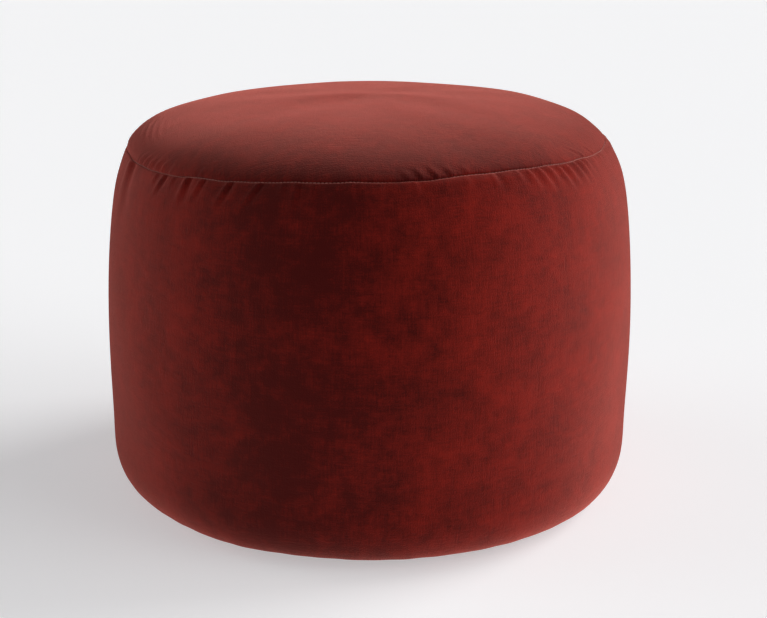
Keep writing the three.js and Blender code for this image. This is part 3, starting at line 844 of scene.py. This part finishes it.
def polystyrene(name, colour):
    """Expanded polystyrene beads, 3 to 4 mm across: matt white grains packed side by side."""
    made, tree, shader = material(name)
    place = node(tree, "ShaderNodeTexCoord").outputs["Object"]
    cells = node(
        tree, "ShaderNodeTexVoronoi", [("Vector", place), ("Scale", 1 / (3.6 * MM))]
    ).outputs["Distance"]
    dome = node(
        tree, "ShaderNodeMapRange", [("Value", cells), (1, 0.0), (2, 0.8), (3, 1.0), (4, 0.0)]
    ).outputs["Result"]
    # Each bead is painted darker towards its edge: painted shade in the gaps between the beads.
    dark, light = shaded(colour, 0.6), shaded(colour, 1)
    mixed = node(
        tree, "ShaderNodeMix", [("Factor", dome), ("A", dark), ("B", light)], data_type="RGBA"
    )
    raised = node(
        tree, "ShaderNodeBump", [("Height", dome), ("Distance", 1.2 * MM), ("Strength", 0.9)]
    )
    feed(tree, shader, [
        ("Base Color", mixed.outputs["Result"]),
        ("Normal", raised.outputs["Normal"]),
        ("Roughness", 0.6),
        ("IOR", 1.59),
    ])
    return made


def finish_named(maker, name, *given, **more):
    """A material made once and then shared."""
    return bpy.data.materials.get(name) or maker(name, *given, **more)


def velvet_finish(colours):
    return finish_named(velvet, "cotton_velvet_cut_pile", colours)


def thread_finish(name, colour, roughness, sheen):
    return finish_named(woven, name, colour, 0.5 * MM, roughness, 0.4, sheen, "xyz")


def cover_thread(colours):
    return thread_finish("spun_polyester_thread", colours.thread, 0.7, 0.2)


def metal_finish(colours):
    return finish_named(plated, "nickel_plated_zinc", colours.metal)


def paint(made, finish):
    made.data.materials.clear()
    made.data.materials.append(finish)


# The cloth's lie, worked out once

_made = {}


def settings():
    scene = bpy.context.scene
    return scene.cushion_shape, scene.cushion_cloth, scene.cushion_colours


def cushion_lie():
    if "lie" not in _made:
        shape, cloth, _ = settings()
        outline = Outline(shape)
        lie = Lie(outline, cloth)
        lie.puckers = simulated_puckers(outline, cloth)
        _made["lie"] = lie
    return _made["lie"]


# The cloth in the simulation.
BLOWN = {
    "quality": 5,
    "mass": 0.15,
    "tension_stiffness": 8,
    "compression_stiffness": 3,
    "shear_stiffness": 3,
    "bending_stiffness": 0.05,
    "vertex_group_mass": "held",
    "use_pressure": True,
    "uniform_pressure_force": 12,
    "vertex_group_shrink": "fullness",
    "shrink_min": 0.0,
    "shrink_max": -0.2,
}
BLOWN_FRAMES = 20


def even_cover(outline):
    """The cover as one even mesh, and the places of its points."""
    stops = np.linspace(0, outline.length, 110)
    bm = turned(outline.at(stops, 1 * MM), steps=128)
    face_out(bm)
    made = object_of(bm, "cover_in_simulation")
    remesh = made.modifiers.new("even", "REMESH")
    remesh.mode = "VOXEL"
    remesh.voxel_size = 6 * MM
    evened = made.evaluated_get(bpy.context.evaluated_depsgraph_get())
    mesh = bpy.data.meshes.new_from_object(evened)
    made.modifiers.clear()
    made.data = mesh
    return made, points_of(mesh)


def sewing(angle, from_top, from_base):
    """Where the cover is held at its seams, and how full it is cut beside them."""
    held = np.maximum.reduce([
        bump(from_top, 4 * MM) > 0.3,
        bump(from_base, 5 * MM) > 0.3,
        from_base < -6 * MM,
    ])
    # More fullness to the left and right of the front, as a sewer eases a curve unevenly.
    eased = 0.55 + 0.45 * np.cos(2 * angle + 0.7) * np.cos(angle * 3 + 0.4)
    eased = eased * smooth(0.5 + 0.9 * np.sin(43 * angle + 2.2 * np.sin(3 * angle)))
    below, above = np.clip(-from_top, 0, None), np.clip(from_top, 0, None)
    full = np.where(from_top < 0, np.exp(-below / (34 * MM)), 0.8 * np.exp(-above / (26 * MM)))
    full = np.maximum(full * eased, 0.8 * np.exp(-np.abs(from_base) / (20 * MM)))
    return {"held": held.astype(float), "fullness": full}


def simulated_puckers(outline, cloth):
    """Blows up the sewn cover as cloth, held at its seams and cut a little full beside them."""
    made, rest = even_cover(outline)
    section, angle = polar(rest)
    along = outline.nearest(section)
    places = sewing(angle, along - outline.top_seam, along - outline.base_seam)
    for name, weights in places.items():
        group = made.vertex_groups.new(name=name)
        for index, weight in enumerate(weights):
            if weight > 0.01:
                group.add([index], float(weight), "REPLACE")
    blown = made.modifiers.new("blown", "CLOTH")
    for name, value in BLOWN.items():
        setattr(blown.settings, name, value)
    blown.settings.effector_weights.gravity = 0
    blown.collision_settings.use_collision = False
    scene = bpy.context.scene
    for step in range(BLOWN_FRAMES):
        scene.frame_set(step + 1)
    final = points_of(made.evaluated_get(bpy.context.evaluated_depsgraph_get()).data)
    scene.frame_set(1)
    bpy.data.objects.remove(made)
    inwards = outline.at(along, 1.0) - outline.at(along)
    shift = final - rest
    sideways = shift[:, 0] * np.cos(angle) + shift[:, 1] * np.sin(angle)
    outward = -(inwards[:, 0] * sideways + inwards[:, 1] * shift[:, 2])
    puckers = Puckers(outline, angle, along, np.clip(outward, -24 * MM, 24 * MM))
    print("simulated relief, mm:", np.round(np.percentile(outward, [1, 25, 50, 75, 99]) / MM, 2))
    # Only the puckers are kept, and they are drawn higher than simulated: an exaggeration.
    puckers.sharpen(cloth.puckering, 2.2 * MM)
    print("puckers kept, mm:", np.round(np.percentile(puckers.grid, [1, 10, 50, 90, 99]) / MM, 2))
    return puckers


# Pieces


def rolled_edge(seam, way, cloth, allowance_depth):
    """(along, depth) points of a cloth edge that rolls in at a seam and lies flat inside."""
    roll = cloth.velvet + GAP
    centre = seam - way * (roll + GAP)
    turns = [math.radians(a) for a in range(-75, 91, 15)]
    points = [(centre + way * roll * math.cos(a), roll + roll * math.sin(a)) for a in turns]
    inside = [(centre - way * cloth.allowance * f, allowance_depth) for f in (0.3, 0.65, 1.0)]
    return points + inside


def panel_edge(seam, way, cloth):
    """(along, depth) points of a flat panel's edge, from the inside out.

    The edge lies flat behind the band's, comes up at the seam and rolls over into the panel.
    """
    roll = 2.0 * MM
    leg = 2 * (cloth.velvet + GAP) + 0.4 * MM
    turns = [math.radians(a) for a in range(180, 271, 15)]
    inside = [(seam - way * cloth.allowance * f, leg) for f in (1.0, 0.6, 0.2)]
    upright = [(seam, leg - 0.4 * MM), (seam + way * GAP, leg - 1.1 * MM)]
    centre = seam + way * (GAP + roll)
    rolled = [(centre + way * roll * math.cos(a), roll + roll * math.sin(a)) for a in turns]
    return inside + upright + rolled


FLAT_FROM = 3.5 * MM  # how far from its seam a flat panel's edge has rolled over


class CUSHION_OT_band(bpy.types.Operator):
    """Sews the band from a front and a rear length of velvet"""

    bl_idname = "cushion.band"
    bl_label = "Band"
    TURN_IN_FROM = 16 * MM  # height above which the upright edges are turned in

    def execute(self, context):
        _, cloth, colours = settings()
        lie = cushion_lie()
        line = lie.outline
        fold = 2 * (cloth.velvet + GAP)
        roll = fold / 2 + GAP
        wall = graded(line.base_seam + roll, line.top_seam - roll, True, True)
        route = (
            rolled_edge(line.base_seam, -1, cloth, fold)[::-1]
            + [(along, 0.0) for along in wall]
            + rolled_edge(line.top_seam, 1, cloth, fold)
        )
        section = line.at(*np.array(route).T)
        parted = 0.5 * MM / line.points[:, 0].max()
        for side in (FRONT, REAR):
            start = parted + (math.pi if side == FRONT else 0)
            bm = turned(section, start, math.pi - 2 * parted, cloth.segments // 2)
            face_out(bm)
            self.turn_in(bm, line, parted)
            made = sewn_cloth(bm, f"velvet_band_{SIDE_NAMES[side]}", lie, "round", cloth.velvet)
            paint(made, velvet_finish(colours))
            ride(made, f"band_{CAD_SIDES[side]}")
        return {"FINISHED"}

    def turn_in(self, bm, line, parted):
        """Turns both upright edges in at the side seams, above the heel, and lays them back."""
        for seam in (0.0, math.pi):
            def at_edge(vert):
                angle = math.atan2(vert.co.y, vert.co.x)
                away = abs(wrapped(angle - seam))
                radius = math.hypot(vert.co.x, vert.co.y)
                along = line.nearest(np.array([[radius, vert.co.z]]))[0]
                outside = np.linalg.norm(line.at(along) - (radius, vert.co.z)) < 0.1 * MM
                above_heel = vert.co.z > self.TURN_IN_FROM
                return abs(away - parted) < parted * 0.05 and outside and above_heel

            edges = [e for e in bm.edges if e.is_boundary and abs(e.verts[0].co.y) < 2 * MM]
            edges = [e for e in edges if all(at_edge(v) for v in e.verts)]
            if not edges:
                raise RuntimeError("the band has no upright edge at a side seam")
            side = math.copysign(1, edges[0].verts[0].co.y) * math.copysign(1, math.cos(seam))
            for inwards, turn in ((2.2, 0.0), (1.6, 0.5), (0.0, 9.0)):
                verts, edges = next_row(bm, edges)
                inner = (-math.cos(seam) * inwards * MM, 0, 0)
                bmesh.ops.translate(bm, verts=verts, vec=inner)
                about_axis = Matrix.Rotation(side * turn * MM / line.points[:, 0].max(), 3, "Z")
                bmesh.ops.rotate(bm, verts=verts, cent=(0, 0, 0), matrix=about_axis)


class CUSHION_OT_crown(bpy.types.Operator):
    """Makes the round crown panel, with its edge turned down inside the band"""

    bl_idname = "cushion.crown"
    bl_label = "Crown panel"

    def execute(self, context):
        _, cloth, colours = settings()
        lie = cushion_lie()
        line = lie.outline
        route = panel_edge(line.top_seam, 1, cloth)
        flat = graded(line.top_seam + FLAT_FROM, line.length, True, False)
        route += [(along, 0.0) for along in flat]
        section = line.at(*np.array(route).T)
        section[-1, 0] = 0
        bm = turned(section, steps=cloth.segments)
        face_out(bm)
        made = sewn_cloth(bm, "velvet_crown_panel", lie, "flat", cloth.velvet)
        paint(made, velvet_finish(colours))
        ride(made, "top_panel")
        return {"FINISHED"}


class CUSHION_OT_base(bpy.types.Operator):
    """Makes the two half-moons of the base, turned in beside the zip and at the seam"""

    bl_idname = "cushion.base"
    bl_label = "Base panels"

    def execute(self, context):
        _, cloth, colours = settings()
        lie = cushion_lie()
        line = lie.outline
        flat = graded(0.0, line.base_seam - FLAT_FROM, False, True, zone=30 * MM)
        route = [(along, 0.0) for along in flat]
        route += panel_edge(line.base_seam, -1, cloth)[::-1]
        section = line.at(*np.array(route).T)
        section[0, 0] = 0
        for side in (FRONT, REAR):
            bm = turned(section, steps=cloth.segments // 2)
            everything = list(bm.verts) + list(bm.edges) + list(bm.faces)
            bmesh.ops.bisect_plane(
                bm,
                geom=everything,
                dist=1e-7,
                plane_co=(0, side * BASE[0].y, 0),
                plane_no=(0, side, 0),
                clear_inner=True,
            )
            face_out(bm)
            self.hem(bm, side)
            self.close_ends(bm, side)
            name = f"velvet_base_{SIDE_NAMES[side]}"
            made = sewn_cloth(bm, name, lie, "flat", cloth.velvet)
            paint(made, velvet_finish(colours))
            ride(made, f"base_panel_{CAD_SIDES[side]}")
        return {"FINISHED"}

    def hem(self, bm, side):
        """Turns the straight edge up and back, for the zip's stitching to hold."""
        edges = [
            e
            for e in bm.edges
            if e.is_boundary
            and all(abs(v.co.y - side * BASE[0].y) < 1e-5 for v in e.verts)
            and all(abs(v.co.x) < TAPE[1].x - 1 * MM for v in e.verts)
        ]
        for up, out in ((1.6, 0.0), (1.8, 0.8), (0.15, 4.0), (0.0, 5.2)):
            verts, edges = next_row(bm, edges)
            bmesh.ops.translate(bm, verts=verts, vec=(0, side * out * MM, up * MM))

    def close_ends(self, bm, side):
        """Brings the halves together beyond the zip's ends, where they are sewn edge to edge."""
        gap = BASE[0].y - 0.1 * MM
        for vert in bm.verts:
            beyond = float(smooth((abs(vert.co.x) - TAPE[1].x + 0.3 * MM) / (3 * MM)))
            near = math.exp(-(abs(vert.co.y) - BASE[0].y) / (20 * MM))
            vert.co.y -= side * gap * beyond * near


class CUSHION_OT_cover_stitching(bpy.types.Operator):
    """Sews the top, base and side seams of the cover"""

    bl_idname = "cushion.cover_stitching"
    bl_label = "Cover stitching"

    def execute(self, context):
        _, cloth, colours = settings()
        lie = cushion_lie()
        line = lie.outline
        whole = np.linspace(0, TURN, 1441)
        finish = cover_thread(colours)
        # The thread shows for a few stitches and then sinks into the pile for a few.
        sunk = (1.15 + 0.5 * np.cos(5 * whole + 0.6) + 0.35 * np.cos(13 * whole)) * MM
        rows = [
            ("top_seam_stitches", "top_seam_thread", lying(lie, whole, line.top_seam, sunk)),
            ("base_seam_stitches", "base_seam_thread", lying(lie, whole, line.base_seam, 0.9 * MM)),
        ]
        up = np.linspace(line.base_seam + 5 * MM, line.top_seam - 5 * MM, 240)
        for seam, hand in ((0.0, "right"), (math.pi, "left")):
            route = lying(lie, np.full(len(up), seam), up, 0.9 * MM)
            rows.append((f"side_seam_stitches_{hand}", f"side_seam_thread_{hand}", route))
        for name, cad, route in rows:
            made = object_of(stitches(route, cloth.stitch, cloth.thread), name)
            paint(made, finish)
            ride(made, cad)
        return {"FINISHED"}


class CUSHION_OT_zip(bpy.types.Operator):
    """Makes the zip's tapes, coils, stops and stitching"""

    bl_idname = "cushion.zip"
    bl_label = "Zip"

    def execute(self, context):
        _, cloth, colours = settings()
        tape = finish_named(woven, "woven_polyester_tape", colours.tape, 0.7 * MM, 0.8, 0.8)
        coil = finish_named(nylon, "dyed_nylon_monofilament", colours.coil)
        metal, thread = metal_finish(colours), cover_thread(colours)
        for side in (FRONT, REAR):
            name, cad = SIDE_NAMES[side], CAD_SIDES[side]
            made = object_of(self.tape(side), f"woven_zip_tape_{name}")
            paint(made, tape)
            ride(made, f"zip_tape_{cad}")
            made = object_of(self.coil(side), f"nylon_zip_coil_{name}")
            paint(made, coil)
            ride(made, f"zip_coil_{cad}")
            reach = ZIP_STITCHING[1].x
            line = (ZIP_STITCHING[0].y + ZIP_STITCHING[1].y) / 2 * side
            height = BED - 0.15 * MM
            route = np.array([(x, line, height) for x in np.linspace(-reach, reach, 240)])
            made = object_of(stitches(route, cloth.stitch, cloth.thread), f"zip_stitches_{name}")
            paint(made, thread)
            ride(made, f"zip_stitching_{cad}")
            made = object_of(self.stop(f"zip_top_stop_{cad}"), f"clamped_top_stop_{name}")
            paint(made, metal)
            ride(made, f"zip_top_stop_{cad}")
        made = object_of(self.stop("zip_bottom_stop"), "clamped_bottom_stop")
        paint(made, metal)
        ride(made, "zip_bottom_stop")
        return {"FINISHED"}

    def tape(self, side):
        """A woven tape with a thicker woven cord under its edge, where the coil is sewn on."""
        low, high = TAPE[0].z, TAPE[1].z
        near, far = TAPE[0].y, TAPE[1].y
        section = [
            (near, low), (near + 3.2 * MM, low), (near + 3.5 * MM, low - 0.25 * MM),
            (near + 4.1 * MM, low - 0.25 * MM), (near + 4.4 * MM, low), (far - 0.6 * MM, low),
            (far, low + 0.25 * MM), (far, high - 0.25 * MM), (far - 0.6 * MM, high), (near, high),
        ]
        bm = bmesh.new()
        verts = [bm.verts.new((-TAPE[1].x, side * y, z)) for y, z in section]
        face = bm.faces.new(verts)
        pulled = bmesh.ops.extrude_face_region(bm, geom=[face])["geom"]
        verts = [g for g in pulled if isinstance(g, bmesh.types.BMVert)]
        bmesh.ops.translate(bm, verts=verts, vec=(2 * TAPE[1].x, 0, 0))
        face_out(bm, (0, side * (near + far) / 2, (low + high) / 2))
        return bm

    def coil(self, side):
        """Turns of a flattened coil, each a ring of few faces."""
        pitch, wire = 1.45 * MM, 0.36 * MM
        low, high = Vector(COIL[0]), Vector(COIL[1])
        middle = Vector((0, side * (low.y + high.y) / 2, (low.z + high.z) / 2))
        start, end = (corner.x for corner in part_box(f"zip_coil_{CAD_SIDES[side]}"))
        count = int((end - start - 2 * wire) / pitch)
        ring = bmesh.new()
        section = bmesh.ops.create_circle(ring, segments=5, radius=wire)["verts"]
        edges = list(ring.edges)
        bmesh.ops.translate(ring, verts=section, vec=((high.z - low.z) / 2 - wire, 0, 0))
        bmesh.ops.spin(
            ring,
            geom=section + edges,
            cent=(0, 0, 0),
            axis=(0, 1, 0),
            angle=TURN,
            steps=10,
            use_merge=True,
        )
        bmesh.ops.recalc_face_normals(ring, faces=ring.faces)
        wide = (high.y - low.y) / (high.z - low.z)
        bmesh.ops.scale(ring, verts=ring.verts, vec=(wide, 1, 1))
        slant = Matrix.Rotation(math.radians(10 * side), 4, "Z")
        stand = slant @ Matrix.Rotation(math.pi / 2, 4, "Z")
        first = middle + Vector((start + wire + pitch / 2, 0, 0))
        step = Vector((pitch, 0, 0))
        return repeated(ring, [Matrix.Translation(first + step * k) @ stand for k in range(count)])

    def stop(self, node_name):
        """A small clamp, pressed round the coil, with rounded edges."""
        low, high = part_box(node_name)
        size = high - low
        bm = bmesh.new()
        matrix = Matrix.Translation((low + high) / 2) @ Matrix.Diagonal((*size, 1))
        bmesh.ops.create_cube(bm, size=1, matrix=matrix)
        bmesh.ops.bevel(
            bm,
            geom=list(bm.edges),
            offset=0.5 * MM,
            affect="EDGES",
            segments=3,
            profile=0.5,
            material=-1,
        )
        return bm


class CUSHION_OT_slider(bpy.types.Operator):
    """Finishes the zip's slider and its pull"""

    bl_idname = "cushion.slider"
    bl_label = "Slider and pull"

    def execute(self, context):
        colours = settings()[2]
        metal = metal_finish(colours)
        for name in ("zip_slider", "zip_pull"):
            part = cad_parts[name]
            paint(part, metal)
            rounded = part.modifiers.new("rounded", "BEVEL")
            rounded.width = 0.3 * MM
            rounded.segments = 2
        return {"FINISHED"}


class CUSHION_OT_liner(bpy.types.Operator):
    """Sews the liner bag: top, side and base with lapped, stitched seams"""

    bl_idname = "cushion.liner"
    bl_label = "Liner bag"

    def execute(self, context):
        _, cloth, colours = settings()
        lie = cushion_lie()
        line = lie.outline
        lap = 7 * MM
        low, high = line.base_seam, line.top_seam
        calico = finish_named(woven, "undyed_cotton_calico", colours.liner, 1.2 * MM, 0.9, 0.5)
        # Which part, from and to along the outline, mm inside the cover's face, flat size, area.
        cuts = [
            ("top", high - lap, line.length, 8.0, (0.47, 0.47), 0.173),
            ("side", low - lap, high + lap, 9.0, (1.56, 0.358), None),
            ("base", 0.0, low + lap, 8.0, (0.47, 0.47), 0.173),
        ]
        for part, start, end, depth, flat, area in cuts:
            stops = np.arange(start, end, 6 * MM)
            stops = np.append(stops[:-1], end)
            section = line.at(stops, depth * MM)
            section[:, 0] = np.where(section[:, 0] < 0.5 * MM, 0, section[:, 0])
            bm = turned(section, steps=240)
            face_out(bm)
            pattern = "flat" if area else "round"
            made = sewn_cloth(bm, f"calico_liner_{part}", lie, pattern, cloth.liner)
            paint(made, calico)
            ride(made, f"liner_{part}")
        whole = np.linspace(0, TURN, 721)
        thread = thread_finish("bleached_cotton_thread", colours.beads, 0.75, 0.1)
        for part, along in (("top", high), ("base", low)):
            route = lying(lie, whole, along, 7.9 * MM)
            shape = stitches(route, cloth.stitch * 1.2, 0.6 * MM)
            made = object_of(shape, f"liner_{part}_stitches")
            paint(made, thread)
            ride(made, f"liner_{part}_seam")
        return {"FINISHED"}


class CUSHION_OT_filling(bpy.types.Operator):
    """Fills the liner bag with beads"""

    bl_idname = "cushion.filling"
    bl_label = "Bead filling"

    def execute(self, context):
        colours = settings()[2]
        lie = cushion_lie()
        line = lie.outline
        stops = np.linspace(0, line.length, 120)
        section = line.at(stops, FILLING_DEPTH)
        section[[0, -1], 0] = 0
        bm = turned(section, steps=240)
        face_out(bm)
        made = object_of(bm, "bead_fill")
        points = points_of(made.data)
        made.data.vertices.foreach_set("co", lie.settle(points).ravel())
        made.data.update()
        paint(made, finish_named(polystyrene, "expanded_polystyrene", colours.beads))
        ride(made, "bead_filling")
        return {"FINISHED"}


class CUSHION_OT_label(bpy.types.Operator):
    """Makes the blank care label inside the base"""

    bl_idname = "cushion.label"
    bl_label = "Care label"

    def execute(self, context):
        low, high = LABEL
        size = high - low
        middle = (low + high) / 2
        bm = bmesh.new()
        matrix = Matrix.Translation(middle) @ Matrix.Diagonal((size.x, size.y, 1, 1))
        bmesh.ops.create_grid(bm, x_segments=24, y_segments=14, size=0.5, matrix=matrix)
        for vert in bm.verts:
            edge = abs(vert.co.x - middle.x) / (size.x / 2)
            vert.co.z += 0.25 * MM * math.sin(3 * edge + vert.co.y / (6 * MM)) * edge
        made = object_of(bm, "blank_care_label")
        wall = made.modifiers.new("thickness", "SOLIDIFY")
        wall.thickness = 0.3 * MM
        wall.offset = 0
        colour = linear("ece8df")[:3]
        paint(made, finish_named(woven, "satin_label_ribbon", colour, 0.5 * MM, 0.4, 0.25))
        ride(made, "care_label")
        return {"FINISHED"}


class CUSHION_OT_stage(bpy.types.Operator):
    """Lays the pale floor and sets the lights and the camera"""

    bl_idname = "cushion.stage"
    bl_label = "Stage"

    def execute(self, context):
        scene, colours = context.scene, settings()[2]
        bm = bmesh.new()
        bmesh.ops.create_grid(bm, x_segments=1, y_segments=1, size=30)
        bmesh.ops.translate(bm, verts=bm.verts, vec=(0, 0, -0.4 * MM))
        floor = object_of(bm, "floor")
        made, tree, shader = material("matt_seamless_paper")
        feed(tree, shader, [
            ("Base Color", (0.75, 0.75, 0.755, 1)),
            ("Roughness", 0.95),
            ("Specular IOR Level", 0.1),
            ("Emission Color", (*colours.floor, 1)),
            ("Emission Strength", 0.46),
        ])
        paint(floor, made)
        self.light_room(scene, colours)
        self.place_camera(scene)
        scene.view_settings.view_transform = "Standard"
        return {"FINISHED"}

    def light_room(self, scene, colours):
        world = bpy.data.worlds.new("studio")
        world.use_nodes = True
        background = world.node_tree.nodes["Background"]
        background.inputs["Color"].default_value = (*colours.floor, 1)
        background.inputs["Strength"].default_value = 0.12
        scene.world = world
        for name, towards, energy, spread in (
            ("window", (1.0, 0.5, 0.56), 2.15, 34),
            ("reflector", (1.0, -0.25, 0.13), 3.0, 60),
            ("back_window", (-1.0, 0.2, 0.13), 1.2, 55),
        ):
            sun = bpy.data.lights.new(name, "SUN")
            sun.energy = energy
            sun.angle = math.radians(spread)
            made = bpy.data.objects.new(name, sun)
            made.rotation_euler = Vector(towards).to_track_quat("Z", "Y").to_euler()
            scene.collection.objects.link(made)

    def place_camera(self, scene):
        lens = bpy.data.cameras.new("camera")
        lens.lens = 66.65
        lens.sensor_width = 36
        lens.shift_x = 0.018
        lens.clip_end = 100
        made = bpy.data.objects.new("camera", lens)
        made.location = (0, -1.347, 0.565)
        made.rotation_euler = (math.pi / 2 - 0.29, 0, 0)
        scene.collection.objects.link(made)
        scene.camera = made


OPERATORS = [
    CUSHION_OT_stage,
    CUSHION_OT_crown,
    CUSHION_OT_band,
    CUSHION_OT_base,
    CUSHION_OT_cover_stitching,
    CUSHION_OT_zip,
    CUSHION_OT_slider,
    CUSHION_OT_liner,
    CUSHION_OT_filling,
    CUSHION_OT_label,
]


class CUSHION_PT_sidebar(bpy.types.Panel):
    """The cushion's sizes, cloth and colours, and a button for each step"""

    bl_label = "Velvet floor cushion"
    bl_idname = "CUSHION_PT_sidebar"
    bl_space_type = "VIEW_3D"
    bl_region_type = "UI"
    bl_category = "Cushion"

    def draw(self, context):
        for group in settings():
            box = self.layout.box()
            for name in group.__annotations__:
                box.prop(group, name)
        for operator in OPERATORS:
            self.layout.operator(operator.bl_idname)


GROUPS = {
    "cushion_shape": CushionShape,
    "cushion_cloth": CushionCloth,
    "cushion_colours": CushionColours,
}


def register():
    for kind in [*GROUPS.values(), *OPERATORS, CUSHION_PT_sidebar]:
        bpy.utils.register_class(kind)
    for name, kind in GROUPS.items():
        setattr(bpy.types.Scene, name, PointerProperty(type=kind))


def unregister():
    for name in GROUPS:
        delattr(bpy.types.Scene, name)
    for kind in [CUSHION_PT_sidebar, *reversed(OPERATORS), *GROUPS.values()]:
        bpy.utils.unregister_class(kind)


def main():
    register()
    for operator in OPERATORS:
        group, name = operator.bl_idname.split(".")
        getattr(getattr(bpy.ops, group), name)()


if __name__ == "__main__":
    main()
